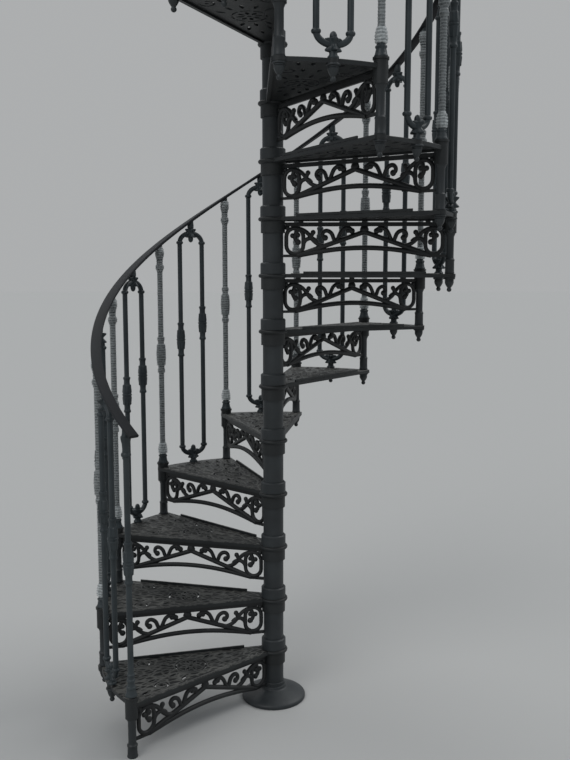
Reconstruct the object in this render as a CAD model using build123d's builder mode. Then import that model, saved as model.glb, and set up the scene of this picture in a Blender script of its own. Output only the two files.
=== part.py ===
from build123d import *
import os
from math import asin, cos, degrees, radians, sin, sqrt

# A cast-iron spiral staircase. The column stands on +Z with its foot on the floor at the origin.
# Each step is drawn with its front line along +X and its body on the -Y side, its top face at Z = 0,
# and is then turned and lifted into place, so the flight climbs clockwise as seen from above.

# The flight
tread_count = 12
rise = 210.0
first_rise = 203.0
step_angle = 28.19
start_bearing = 221.8
post_circle = 660.0
landing_steps = 2

# General clearance around spigots, studs and the pole, and at seats cut to a slope
fit = 0.3

# The column
pole_radius = 30.0
pole_wall = 5.0
sleeve_radius = 39.0
flare_radius = 47.5
flare_height = 42.0
flare_edge = 4.0
bead_radius = 55.0
bead_height = 15.0
collar_radius = 45.5
collar_height = 43.0

# The foot of the column
foot_radius = 125.0
foot_edge = 8.0
foot_dome = 20.0
foot_dome_bulge = 2.0
foot_floor = 6.0
foot_collar_radius = 43.0
foot_collar_height = 27.0

# The top of the column above the landing
cap_radius = 50.0
cap_height = 14.0
ball_radius = 36.0
ball_lift = 28.8
column_over_rail = 30.0

# Treads and landing
edge_height = 14.0
edge_break = 1.5
web_thickness = 7.0
rim_width = 13.0
nosing = 22.0
rear_overlap = 25.0
outer_overhang = 10.0
lip_height = 9.0
lip_thickness = 6.0
lip_start = 115.0
lip_end = 571.0
socket_radius = 22.5
socket_above = 20.0
socket_below = 60.0
socket_ring_radius = 25.5
socket_ring_height = 7.0
mid_boss_radius = 17.0

# Piercing of the treads: a ringed rosette, leaves that fan out from it, and a pair of scrolls
ring_radius = 57.0
ring_slot = 7.0
ring_bridge = 7.0
rosette_petals = 8
petal_circle = 30.0
petal_length = 29.0
petal_width = 13.0
rosette_eye = 8.0
leaf_length = 42.0
leaf_width = 15.0
leaf_margin = 18.0
outer_fan_leaves = (5, 3, 7)
inner_fan_leaves = (3, 2, 1)
inner_fan_pitch = 46.0
inner_fan_gap = 33.6
scroll_radius = 23.0
scroll_gap = 80.0
scroll_eye = 7.0

# Corner posts, their studs and the acorn nuts
post_radius = 14.0
post_shoe_radius = 17.5
post_shoe_height = 56.0
floor_shoe_radius = 19.0
floor_shoe_height = 48.0
spigot_radius = 11.0
spigot_length = 30.0
stud_radius = 8.0
stud_grip = 16.0
nut_disc_radius = 21.5
nut_disc_height = 6.0
nut_shoulder_radius = 15.0
nut_neck_radius = 5.0
nut_neck_height = 31.0
nut_ball_radius = 8.0
nut_length = 44.0

# Riser panels: a top rail, a peaked chord over an arched one, and scrollwork between them
panel_thickness = 9.0
panel_slit = 5.0
panel_top_rail = 15.0
panel_depth = 148.0
panel_lug = 18.0
panel_lug_inset = 60.0
panel_bar = 9.0
chord_bar = 12.0
foot_bar = 10.0
foot_length = 46.0
peak_drop = 54.0
trunk_width = 20.0
arch_drop = 113.0
oval_radius = 32.0
oval_straight = 32.0
oval_inset = 36.5
oval_drop = 88.0
bud_radius = 6.0
berry_radius = 7.5

# Balusters
rail_underside = 960.0
baluster_radius = 10.5
baluster_foot_radius = 18.0
baluster_foot_height = 8.0
baluster_vase_radius = 16.5
baluster_vase_height = 70.0
bulb_radius = 19.5
bulb_length = 150.0
bulb_height = 494.0
neck_ring_radius = 14.5
neck_ring_height = 9.0
neck_ring_drops = (92.0, 30.0)
loop_tube_radius = 10.0
loop_spacing = 108.0
loop_low_ring = 75.0
loop_low_bend = 36.0
loop_high_ring = 976.0
loop_high_bend = 42.0
loop_bulb_radius = 18.5
loop_bulb_height = 589.0
loop_ring_radius = 14.0
loop_ring_height = 12.0
loop_foot_radius = 15.0
loop_foot_neck = 9.0
leaf_ornament_width = 46.0
leaf_ornament_height = 58.0
leaf_ornament_thickness = 12.0
leaf_bite = 14.0
leaf_bite_shares = (0.2, 0.8)

# Handrail
rail_width = 50.0
rail_height = 22.0
rail_chamfer = 5.0
rail_tail = 4.2

# The guard along the far edge of the landing, and the rim that meets the upper floor
guard_balusters = 4
guard_pitch = 155.0
rim_bearer_thickness = 10.0
rim_bearer_height = 80.0
rim_bearer_margin = 3.0

# What follows from the sizes above
landing_number = tread_count + 1
rail_slope = rise / (radians(step_angle) * post_circle)
plate_radius = post_circle + outer_overhang
bore_radius = pole_radius + fit
hub_bottom = (edge_height - bead_height) / 2 - bead_height / 2 - edge_height / 2 - collar_height
bead_bottom = hub_bottom + collar_height
bead_top = bead_bottom + bead_height
bead_shoulder = bead_radius - bead_height / 2
mid_bearing = -step_angle / 2
rosette_place = (post_circle + collar_radius) / 2


def level(n):
    """Height of the top face of tread n. The landing counts as the tread after the last."""
    return first_rise + (n - 1) * rise


def bearing(n):
    """Bearing of the front line of tread n, in degrees from +X towards +Y."""
    return start_bearing - (n - 1) * step_angle


def at_step(n):
    """The place of step n."""
    return Location((0, 0, level(n)), (0, 0, bearing(n)))


def turned(point, angle):
    """A point of the plan turned about the column."""
    x, y = point
    return (x * cos(radians(angle)) - y * sin(radians(angle)),
            x * sin(radians(angle)) + y * cos(radians(angle)))


def on_edge_circle(offset):
    """The point of the plate's outer circle at this distance beside the front line."""
    return (sqrt(plate_radius**2 - offset**2), offset)


def write_piece(name, piece):
    """Label the finished piece and write it under its own name."""
    piece.label = name
    export_step(piece, f"parts/{name}.step")


os.makedirs("parts", exist_ok=True)


# Foot of the column: a low dome with a collar and a blind socket for the pole
foot_top = foot_dome + foot_collar_height
with BuildPart() as base_plate:
    with BuildSketch(Plane.XZ):
        with BuildLine():
            Polyline((0, 0), (foot_radius, 0), (foot_radius, foot_edge))
            ThreePointArc((foot_radius, foot_edge),
                          ((foot_radius + foot_collar_radius) / 2,
                           (foot_edge + foot_dome) / 2 + foot_dome_bulge),
                          (foot_collar_radius, foot_dome))
            Polyline((foot_collar_radius, foot_dome), (foot_collar_radius, foot_top), (0, foot_top), (0, 0))
        make_face()
    revolve(axis=Axis.Z)
    with Locations((0, 0, foot_top)):
        Hole(bore_radius, depth=foot_top - foot_floor)
write_piece("base_plate", base_plate.part)


# The pole inside the column, from the foot's socket to the cap
column_top_level = level(landing_number) + rail_underside + rail_height + column_over_rail
with BuildPart() as centre_pole:
    with BuildSketch(Plane.XY.offset(foot_floor)):
        Circle(pole_radius)
        Circle(pole_radius - pole_wall, mode=Mode.SUBTRACT)
    extrude(amount=column_top_level - foot_floor)
write_piece("centre_pole", centre_pole.part)


# Sleeves between the hubs: a plain one on the foot, then one with a flared collar on each bead
with BuildPart() as first_sleeve:
    with BuildSketch(Plane.XY.offset(foot_top)):
        Circle(sleeve_radius)
        Circle(bore_radius, mode=Mode.SUBTRACT)
    extrude(amount=first_rise + hub_bottom - foot_top)

with BuildPart() as flared_sleeve:
    with BuildSketch(Plane.XZ):
        with BuildLine():
            Polyline((bore_radius, bead_top - rise),
                     (flare_radius, bead_top - rise),
                     (flare_radius, bead_top - rise + flare_height - flare_edge),
                     (flare_radius - flare_edge, bead_top - rise + flare_height),
                     (sleeve_radius, bead_top - rise + flare_height),
                     (sleeve_radius, hub_bottom),
                     (bore_radius, hub_bottom),
                     close=True)
        make_face()
    revolve(axis=Axis.Z)

with BuildPart() as column_sleeves:
    add(first_sleeve.part)
    for n in range(2, landing_number + 1):
        with Locations(at_step(n)):
            add(flared_sleeve.part)
write_piece("column_sleeves", column_sleeves.part)


# The column above the landing, with a cap and a ball
top_base = level(landing_number) + bead_top
with BuildPart() as column_top:
    with BuildSketch(Plane.XZ):
        with BuildLine():
            Polyline((0, column_top_level),
                     (bore_radius, column_top_level),
                     (bore_radius, top_base),
                     (flare_radius, top_base),
                     (flare_radius, top_base + flare_height - flare_edge),
                     (flare_radius - flare_edge, top_base + flare_height),
                     (sleeve_radius, top_base + flare_height),
                     (sleeve_radius, column_top_level),
                     (cap_radius, column_top_level),
                     (cap_radius, column_top_level + cap_height),
                     (ball_radius / 2, column_top_level + cap_height),
                     (0, column_top_level + cap_height),
                     close=True)
        make_face()
    revolve(axis=Axis.Z)
    with Locations((0, 0, column_top_level + cap_height + ball_lift)):
        Sphere(ball_radius)
write_piece("column_top", column_top.part)


def hub_and_plate(steps):
    """The casting that treads and the landing share: hub, plate with its rim, front socket and bead."""
    far = -step_angle * steps
    front_corner = on_edge_circle(nosing)
    rear_corner = turned(on_edge_circle(-rear_overlap), far)
    middle = turned((plate_radius, 0), far / 2)
    with BuildPart() as casting:
        # Plate with a deep rim and a thinner web
        with BuildSketch(Plane.XY.offset(-edge_height)) as outline:
            with BuildLine():
                Polyline(turned((0, -rear_overlap), far), (0, nosing), front_corner)
                ThreePointArc(front_corner, middle, rear_corner)
                Line(rear_corner, turned((0, -rear_overlap), far))
            make_face()
        extrude(amount=edge_height)
        chamfer(casting.faces().sort_by(Axis.Z)[-1].edges(), edge_break)
        with BuildSketch(Plane.XY.offset(-edge_height)):
            add(outline.sketch)
            offset(amount=-rim_width, mode=Mode.REPLACE)
        extrude(amount=edge_height - web_thickness, mode=Mode.SUBTRACT)
        # Hub with its bead
        with BuildSketch(Plane.XY.offset(hub_bottom)):
            Circle(collar_radius)
        extrude(amount=collar_height)
        with BuildSketch(Plane.XZ):
            with BuildLine():
                Polyline((bead_shoulder, bead_top), (0, bead_top), (0, bead_bottom),
                         (bead_shoulder, bead_bottom))
                ThreePointArc((bead_shoulder, bead_bottom), (bead_radius, (bead_top + bead_bottom) / 2),
                              (bead_shoulder, bead_top))
            make_face()
        revolve(axis=Axis.Z)
        # Socket at the front corner, with a ring at its mouth
        with BuildSketch(Plane.XY.offset(-socket_below)):
            with Locations((post_circle, 0)):
                Circle(socket_radius)
        extrude(amount=socket_below + socket_above)
        with BuildSketch(Plane.XY.offset(socket_above - socket_ring_height)):
            with Locations((post_circle, 0)):
                Circle(socket_ring_radius)
        extrude(amount=socket_ring_height)
        # Bores for the pole and for the spigots
        with Locations((0, 0, bead_top)):
            Hole(bore_radius)
        with Locations((post_circle, 0, socket_above)):
            Hole(spigot_radius + fit)
    return casting.part


def fan_spread(reach, way):
    """Half the angle that a fan of leaves may fill at this reach from the rosette's middle.

    The way is 1 for the fans towards the outer edge and -1 for those towards the column, where the
    step narrows. The leaves' tips stay clear of the rim."""
    half_step = radians(step_angle / 2)
    room = rosette_place * sin(half_step) - leaf_margin + nosing - rim_width
    return degrees(asin(room / reach)) + way * step_angle / 2


# Fretwork: what is cut through the web of one step, drawn along the step's middle line
ring_reach = ring_radius + ring_slot / 2
ring_angle = 360 / rosette_petals - degrees((ring_slot + ring_bridge) / ring_radius)
outer_room = plate_radius - rim_width - rosette_place - ring_reach
outer_reaches = [ring_reach + (k + 0.5) * outer_room / len(outer_fan_leaves)
                 for k in range(len(outer_fan_leaves))]
inner_reaches = [ring_reach + inner_fan_gap + k * inner_fan_pitch for k in range(len(inner_fan_leaves))]
scroll_reach = outer_reaches[1]
scroll_spread = fan_spread(scroll_reach + scroll_radius, 1) - degrees(scroll_radius / scroll_reach) / 2
with BuildLine() as ring_line:
    CenterArc((0, 0), ring_radius, -ring_angle / 2, ring_angle)
with BuildLine() as scroll_line:
    CenterArc((0, 0), scroll_radius, scroll_gap / 2, 360 - scroll_gap)
with BuildSketch() as leaf:
    with BuildLine():
        ThreePointArc((-leaf_length / 2, 0), (0, leaf_width / 2), (leaf_length / 2, 0))
        ThreePointArc((leaf_length / 2, 0), (0, -leaf_width / 2), (-leaf_length / 2, 0))
    make_face()
with BuildSketch() as petal:
    with BuildLine():
        ThreePointArc((-petal_length / 2, 0), (petal_length / 6, petal_width / 2), (petal_length / 2, 0))
        ThreePointArc((petal_length / 2, 0), (petal_length / 6, -petal_width / 2), (-petal_length / 2, 0))
    make_face()
with BuildPart() as fretwork:
    with BuildSketch():
        with Locations((rosette_place, 0)):
            # The rosette: an eye, petals and a broken ring
            Circle(rosette_eye)
            with PolarLocations(petal_circle, rosette_petals):
                add(petal.sketch)
            with PolarLocations(0, rosette_petals):
                SlotArc(ring_line.edges()[0], ring_slot)
            # Fans of leaves towards the outer edge, with the scrolls at the ends of the middle one
            for reach, leaves in zip(outer_reaches, outer_fan_leaves):
                spread = fan_spread(reach + leaf_length / 2, 1)
                if reach == scroll_reach:
                    spread = scroll_spread / 2
                with PolarLocations(reach, leaves, -spread, 2 * spread, endpoint=True):
                    add(leaf.sketch)
            with PolarLocations(scroll_reach, 2, -scroll_spread, 2 * scroll_spread, endpoint=True):
                SlotArc(scroll_line.edges()[0], ring_slot)
                Circle(scroll_eye)
            # Fewer and fewer leaves towards the column
            for reach, leaves in zip(inner_reaches, inner_fan_leaves):
                spread = max(fan_spread(reach + leaf_length / 2, -1), 0)
                for k in range(leaves):
                    place = 180 + spread * (2 * k - leaves + 1) / max(leaves - 1, 1)
                    with Locations(Location(turned((reach, 0), place) + (0,), (0, 0, place))):
                        add(leaf.sketch)
    extrude(amount=-web_thickness)


# Treads: the shared casting with a mid-edge boss, a rear eye, a rear lip and the fretwork
eye_place = turned((post_circle, 0), -step_angle)
boss_place = turned((post_circle, 0), mid_bearing)
with BuildPart() as tread:
    add(hub_and_plate(1))
    with Locations(Location((0, 0, 0), (0, 0, mid_bearing))):
        add(fretwork.part, mode=Mode.SUBTRACT)
    with BuildSketch(Plane.XY.offset(-edge_height)):
        with Locations(eye_place):
            Circle(socket_radius)
        with Locations(boss_place):
            Circle(mid_boss_radius)
    extrude(amount=edge_height)
    # The lip stands along the rear edge
    with BuildSketch(Plane.XY):
        with BuildLine():
            Polyline(*[turned(point, -step_angle) for point in (
                (lip_start, -rear_overlap),
                (lip_end, -rear_overlap),
                (lip_end, -rear_overlap + lip_thickness),
                (lip_start, -rear_overlap + lip_thickness))], close=True)
        make_face()
    extrude(amount=lip_height)
    # Bores for the stud of the next post and for the stem of the loop baluster
    with Locations((*eye_place, 0), (*boss_place, 0)):
        Hole(stud_radius + fit)

for n in range(1, tread_count + 1):
    write_piece(f"tread_{n:02d}", tread.part.moved(at_step(n)))


# Landing: the same casting over two steps, with bosses along its far edge for the guard
far_bearing = -step_angle * landing_steps
guard_places = [turned((post_circle - k * guard_pitch, 0), far_bearing) for k in range(guard_balusters)]
with BuildPart() as landing:
    add(hub_and_plate(landing_steps))
    with Locations(*[Location((0, 0, 0), (0, 0, mid_bearing - k * step_angle))
                     for k in range(landing_steps)]):
        add(fretwork.part, mode=Mode.SUBTRACT)
    with BuildSketch(Plane.XY.offset(-edge_height)):
        with Locations(*guard_places):
            Circle(socket_radius)
    extrude(amount=edge_height + socket_above)
    with Locations(*[(*place, socket_above) for place in guard_places]):
        Hole(spigot_radius + fit)
write_piece("landing", landing.part.moved(at_step(landing_number)))


# Rim bearer: a curved bar under the landing's outer edge, against the edge of the floor opening
with BuildPart() as landing_bearer:
    with BuildSketch(Plane.XY.offset(-rim_bearer_height)):
        with BuildLine():
            inner = CenterArc((0, 0), plate_radius + fit, -rim_bearer_margin,
                              far_bearing + 2 * rim_bearer_margin)
            outer = CenterArc((0, 0), plate_radius + fit + rim_bearer_thickness, -rim_bearer_margin,
                              far_bearing + 2 * rim_bearer_margin)
            Line(inner @ 0, outer @ 0)
            Line(inner @ 1, outer @ 1)
        make_face()
    extrude(amount=rim_bearer_height)
write_piece("landing_bearer", landing_bearer.part.moved(at_step(landing_number)))


# Riser panel: a flat casting on the front line, from the column to the post
panel_top = -edge_height - panel_slit
rail_bottom = panel_top - panel_top_rail
panel_inner_top = collar_radius + fit
panel_inner_low = sleeve_radius + fit
panel_outer_top = post_circle - socket_radius - fit
panel_outer_low = post_circle - post_radius - fit
panel_middle = (panel_inner_top + panel_outer_top) / 2
panel_half = (panel_outer_top - panel_inner_top) / 2
foot_line = -panel_depth + foot_bar / 2
foot_start = panel_half - foot_length
chord_foot = -panel_depth + chord_bar / 2


def on_peak(reach):
    """Height of the peaked chord's middle line at this distance from the panel's middle."""
    return -peak_drop + (chord_foot + peak_drop) * reach / foot_start


def strand(start, heading, *points):
    """The middle line of one bar of the scrollwork: arcs that run smoothly on from one another."""
    with BuildLine() as line:
        at = start
        way = heading
        for point in points:
            arc = TangentArc(at, point, tangent=way)
            at = point
            way = arc % 1
    return line.edges()


# The scrollwork of one half, with X counted from the panel's middle. What gathers at the post is
# placed by its distance from the panel's end, and what gathers at the peak from the middle.
knot = (panel_half - 97, -74)
volute_eye = (panel_half - 150, -76)
fan_eye = (46, -51)
leaf_eye = (panel_half - oval_inset - 12, -oval_drop - 4)
oval_top = (panel_half - oval_inset, -oval_drop + oval_straight / 2 + oval_radius)
oval_side = (panel_half - oval_inset - oval_radius, -oval_drop - oval_straight / 2)
lead_root = (panel_half - 148, on_peak(panel_half - 148))
volute_root = (panel_half - 188, on_peak(panel_half - 188))
fan_root = (panel_half - 194, on_peak(panel_half - 194))
strands = (
    strand(oval_top, (-1, 0), knot, lead_root),
    strand(oval_side, (0, 1), (knot[0] + 5, knot[1] - 4), (knot[0] - 22, knot[1] - 17)),
    strand(knot, (-1, 3), (knot[0] - 7, knot[1] + 17)),
    strand(volute_root, (1, 2), (panel_half - 178, -68), (panel_half - 158, -50),
           (panel_half - 140, -65), volute_eye),
    strand(fan_root, (-1, 3), (panel_half - 208, -56), (62, -40), fan_eye),
    strand((panel_half - 48, -43), (1, -2), (panel_half - 38, -66), leaf_eye),
)
buds = ((knot[0] - 8, knot[1] + 18), (panel_half - 28, -68), (panel_half - 48, -66),
        (60, -49), (panel_half - 8, -39))
berries = (volute_eye, fan_eye, leaf_eye)
riser_plane = Plane(origin=(panel_middle, panel_thickness / 2, 0), x_dir=(1, 0, 0), z_dir=(0, -1, 0))
with BuildPart() as riser:
    with BuildSketch(riser_plane):
        # The oval beside the post
        with Locations((panel_half - oval_inset, -oval_drop)):
            SlotCenterToCenter(oval_straight, 2 * oval_radius + panel_bar, rotation=90)
            SlotCenterToCenter(oval_straight, 2 * oval_radius - panel_bar, rotation=90, mode=Mode.SUBTRACT)
        for line in strands:
            trace(line, line_width=panel_bar)
        with Locations(*buds):
            Circle(bud_radius)
        with Locations(*berries):
            Circle(berry_radius)
        # Peaked chord over the arched one
        with BuildLine():
            Line((0, -peak_drop), (foot_start, chord_foot))
        trace(line_width=chord_bar)
        trace(strand((0, -arch_drop), (1, 0), (foot_start / 2, -arch_drop - 8), (foot_start, chord_foot)),
              line_width=chord_bar)
        mirror(about=Plane.YZ)
        # Trunk over the peak, top rail, and the lugs that carry the panel under the plate
        with Locations((0, (rail_bottom - peak_drop) / 2)):
            Rectangle(trunk_width, rail_bottom + peak_drop + chord_bar)
        with Locations((0, panel_top - panel_top_rail / 2)):
            Rectangle(2 * panel_half, panel_top_rail)
        with Locations(*[(k * (panel_half - panel_lug_inset), panel_top + panel_slit / 2)
                         for k in (-1, 0, 1)]):
            Rectangle(panel_lug, panel_slit)
        # Feet, which reach the sleeve and the post
        foot_inner = foot_start - chord_bar / 2
        for foot_from, foot_to in ((foot_inner, panel_outer_low - panel_middle),
                                   (-foot_inner, panel_inner_low - panel_middle)):
            with Locations(((foot_from + foot_to) / 2, foot_line)):
                Rectangle(abs(foot_to - foot_from), foot_bar)
    extrude(amount=panel_thickness)

for n in range(1, landing_number + 1):
    write_piece(f"riser_{n:02d}", riser.part.moved(at_step(n)))


# Corner post: spigot in the socket above, shoe on the eye below, stud through the eye
with BuildPart() as corner_post:
    with BuildSketch(Plane.XY.offset(-socket_below)):
        with Locations((post_circle, 0)):
            Circle(spigot_radius)
    extrude(amount=spigot_length)
    with BuildSketch(Plane.XY.offset(-socket_below)):
        with Locations((post_circle, 0)):
            Circle(post_radius)
    extrude(amount=-(rise - socket_below))
    with BuildSketch(Plane.XY.offset(-rise)):
        with Locations((post_circle, 0)):
            Circle(post_shoe_radius)
    extrude(amount=post_shoe_height)
    with BuildSketch(Plane.XY.offset(-rise)):
        with Locations((post_circle, 0)):
            Circle(stud_radius)
    extrude(amount=-(edge_height + stud_grip))

with BuildPart() as corner_posts:
    for n in range(2, landing_number + 1):
        with Locations(at_step(n)):
            add(corner_post.part)
write_piece("corner_posts", corner_posts.part)


# The first post stands on the floor
with BuildPart() as floor_post:
    with BuildSketch(Plane.XY.offset(-socket_below)):
        with Locations((post_circle, 0)):
            Circle(spigot_radius)
    extrude(amount=spigot_length)
    with BuildSketch(Plane.XY.offset(-first_rise)):
        with Locations((post_circle, 0)):
            Circle(post_radius)
    extrude(amount=first_rise - socket_below)
    with BuildSketch(Plane.XY.offset(-first_rise)):
        with Locations((post_circle, 0)):
            Circle(floor_shoe_radius)
    extrude(amount=floor_shoe_height)
write_piece("floor_post", floor_post.part.moved(at_step(1)))


# Nut on a stud under the plate: a disc, a hollow-sided body and a ball
with BuildPart() as acorn_nut:
    nut_ball_level = -edge_height - nut_length + nut_ball_radius
    with BuildSketch(Plane.XZ):
        with BuildLine():
            Polyline((0, -edge_height - nut_neck_height), (0, -edge_height), (nut_disc_radius, -edge_height),
                     (nut_disc_radius, -edge_height - nut_disc_height),
                     (nut_shoulder_radius, -edge_height - nut_disc_height),
                     (nut_shoulder_radius, -edge_height - stud_grip))
            RadiusArc((nut_shoulder_radius, -edge_height - stud_grip),
                      (nut_neck_radius, -edge_height - nut_neck_height), nut_length / 2)
            Line((nut_neck_radius, -edge_height - nut_neck_height), (0, -edge_height - nut_neck_height))
        make_face()
    revolve(axis=Axis.Z)
    with Locations((0, 0, nut_ball_level)):
        Sphere(nut_ball_radius)
    with Locations((0, 0, -edge_height)):
        Hole(stud_radius + fit, depth=stud_grip + fit)

with BuildPart() as corner_nuts:
    for n in range(1, tread_count + 1):
        with Locations(at_step(n) * Location((*eye_place, 0))):
            add(acorn_nut.part)
write_piece("corner_nuts", corner_nuts.part)

with BuildPart() as loop_nuts:
    for n in range(1, tread_count + 1):
        with Locations(at_step(n) * Location((*boss_place, 0))):
            add(acorn_nut.part)
write_piece("loop_nuts", loop_nuts.part)


def turned_baluster(top):
    """A single baluster on its own axis, from the spigot in its socket up to this height."""
    foot_level = socket_above + baluster_foot_height
    vase_top = socket_above + baluster_vase_height
    bulb_start = bulb_height - bulb_length / 2
    bulb_end = bulb_height + bulb_length / 2
    with BuildPart() as baluster:
        with BuildSketch(Plane.XZ):
            with BuildLine():
                Polyline((baluster_radius, bulb_end), (baluster_radius, top), (0, top),
                         (0, socket_above - spigot_length),
                         (spigot_radius, socket_above - spigot_length), (spigot_radius, socket_above),
                         (baluster_foot_radius, socket_above), (baluster_foot_radius, foot_level),
                         (baluster_radius, foot_level))
                ThreePointArc((baluster_radius, foot_level),
                              (baluster_vase_radius, (foot_level + vase_top) / 2),
                              (baluster_radius, vase_top))
                Line((baluster_radius, vase_top), (baluster_radius, bulb_start))
                ThreePointArc((baluster_radius, bulb_start), (bulb_radius, bulb_height),
                              (baluster_radius, bulb_end))
            make_face()
        revolve(axis=Axis.Z)
        # Rings on the neck
        for drop in neck_ring_drops:
            with BuildSketch(Plane.XY.offset(top - drop)):
                Circle(neck_ring_radius)
            extrude(amount=neck_ring_height)
    return baluster.part


# Corner balusters, cut to the slope of the rail
slope_reach = baluster_radius * 2
with BuildPart() as corner_baluster:
    with Locations((post_circle, 0)):
        add(turned_baluster(rail_underside + slope_reach))
    split(bisect_by=Plane(origin=(post_circle, 0, rail_underside - fit), z_dir=(0, rail_slope, 1)),
          keep=Keep.BOTTOM)

with BuildPart() as corner_balusters:
    for n in range(1, landing_number + 1):
        with Locations(at_step(n)):
            add(corner_baluster.part)
write_piece("corner_balusters", corner_balusters.part)


# Loop baluster, drawn at the mid-edge boss with its plane along the edge
loop_top = rail_underside + rise / 2
loop_half = loop_spacing / 2
loop_bottom = loop_low_ring - loop_low_bend
loop_crown = loop_high_ring + loop_high_bend
leg_bulbs = [(side, loop_bulb_height - side * rail_slope * loop_half) for side in (-1, 1)]
with BuildPart() as loop_baluster:
    with BuildLine(Plane.YZ) as loop_path:
        FilletPolyline((loop_half, loop_low_ring), (loop_half, loop_crown), (-loop_half, loop_crown),
                       (-loop_half, loop_low_ring), radius=loop_high_bend)
        FilletPolyline((-loop_half, loop_low_ring), (-loop_half, loop_bottom), (loop_half, loop_bottom),
                       (loop_half, loop_low_ring), radius=loop_low_bend - fit)
    with BuildSketch(Plane.XY.offset(loop_low_ring)):
        with Locations((0, loop_half)):
            RegularPolygon(loop_tube_radius, 8)
    sweep(path=loop_path.wires()[0])
    # A bulb on each leg, staggered with the slope of the rail, and rings at the elbows
    for side, height in leg_bulbs:
        with BuildSketch(Plane.XZ.offset(-side * loop_half)):
            with BuildLine():
                Polyline((loop_tube_radius, height + bulb_length / 2), (0, height + bulb_length / 2),
                         (0, height - bulb_length / 2), (loop_tube_radius, height - bulb_length / 2))
                ThreePointArc((loop_tube_radius, height - bulb_length / 2), (loop_bulb_radius, height),
                              (loop_tube_radius, height + bulb_length / 2))
            make_face()
        revolve(axis=Axis((0, side * loop_half, 0), (0, 0, 1)))
    for height in (loop_low_ring, loop_high_ring):
        with BuildSketch(Plane.XY.offset(height - loop_ring_height / 2)):
            with Locations((0, loop_half), (0, -loop_half)):
                Circle(loop_ring_radius)
        extrude(amount=loop_ring_height)
    # Leaf ornaments stand in the two bends: a pair of lobes bites each side under the bud
    with BuildSketch(Plane.YZ.offset(-leaf_ornament_thickness / 2)):
        for root, way in ((loop_bottom, 1), (loop_crown, -1)):
            with Locations((0, root + way * leaf_ornament_height / 2)):
                Ellipse(leaf_ornament_width / 2, leaf_ornament_height / 2)
            with Locations(*[(side * leaf_ornament_width / 2, root + way * leaf_ornament_height * share)
                             for side in (-1, 1) for share in leaf_bite_shares]):
                Circle(leaf_bite, mode=Mode.SUBTRACT)
    extrude(amount=leaf_ornament_thickness)
    # Stem through the boss below, a waisted foot, and the neck up to the rail
    with BuildSketch():
        Circle(stud_radius)
    extrude(amount=-(edge_height + stud_grip))
    with BuildSketch(Plane.XZ):
        with BuildLine():
            Polyline((loop_foot_radius, loop_bottom), (0, loop_bottom), (0, 0), (loop_foot_radius, 0))
            ThreePointArc((loop_foot_radius, 0), (loop_foot_neck, loop_bottom / 2),
                          (loop_foot_radius, loop_bottom))
        make_face()
    revolve(axis=Axis.Z)
    with BuildSketch(Plane.XY.offset(loop_crown)):
        Circle(loop_tube_radius)
    extrude(amount=loop_top + slope_reach - loop_crown)
    split(bisect_by=Plane(origin=(0, 0, loop_top - fit), z_dir=(0, rail_slope, 1)), keep=Keep.BOTTOM)

with BuildPart() as loop_balusters:
    for n in range(1, tread_count + 1):
        with Locations(at_step(n) * Location((*boss_place, 0), (0, 0, mid_bearing))):
            add(loop_baluster.part)
write_piece("loop_balusters", loop_balusters.part)


# Section of the handrail, standing on its underside: a flat bar with eased edges and a crowned top
rail_half = rail_width / 2
rail_outline = [(-rail_half + rail_chamfer, 0), (rail_half - rail_chamfer, 0), (rail_half, rail_chamfer),
                (rail_half, rail_height - rail_chamfer), (rail_half - 2 * rail_chamfer, rail_height),
                (-rail_half + 2 * rail_chamfer, rail_height), (-rail_half, rail_height - rail_chamfer),
                (-rail_half, rail_chamfer)]


# Handrail: the section swept up the helix over the posts, from just before post 1 to the landing's post
rail_sweep = rail_tail + step_angle * tread_count + rail_tail
rail_climb = rail_sweep / step_angle * rise
with BuildPart() as handrail:
    with BuildLine() as rail_path:
        Helix(pitch=360 / step_angle * rise, height=rail_climb, radius=post_circle, lefthand=True)
    with BuildSketch(Plane(origin=(post_circle, 0, 0), x_dir=(1, 0, 0), z_dir=(0, -1, 0))):
        Polygon(*rail_outline, align=None)
    sweep(path=rail_path.wires()[0], is_frenet=True)
rail_start = level(1) + rail_underside - rail_tail / step_angle * rise
write_piece("handrail", handrail.part.moved(Location((0, 0, rail_start), (0, 0, start_bearing + rail_tail))))


# Guard along the landing's far edge: turned balusters under a level bar
with BuildPart() as guard:
    for place in guard_places:
        with Locations(place):
            add(turned_baluster(rail_underside))
write_piece("guard_balusters", guard.part.moved(at_step(landing_number)))

guard_start = sleeve_radius + fit
guard_end = post_circle + rail_width / 2
with BuildPart() as guard_rail:
    with BuildSketch(Plane(origin=(guard_start, 0, rail_underside), x_dir=(0, 1, 0), z_dir=(1, 0, 0))):
        Polygon(*rail_outline, align=None)
    extrude(amount=guard_end - guard_start)
guard_turn = Location((0, 0, 0), (0, 0, far_bearing))
write_piece("guard_rail", guard_rail.part.moved(at_step(landing_number) * guard_turn))
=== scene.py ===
# %% [markdown]
# # A cast-iron spiral staircase
# This lesson dresses the packed CAD model of a narrow spiral stair. The CAD model fixes every size
# and every seat, so it is loaded first and never moved. What is worth more detail than a CAD solid
# has, such as the turned balusters or the relief on the treads, is built here and stands for its CAD
# node.

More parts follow.
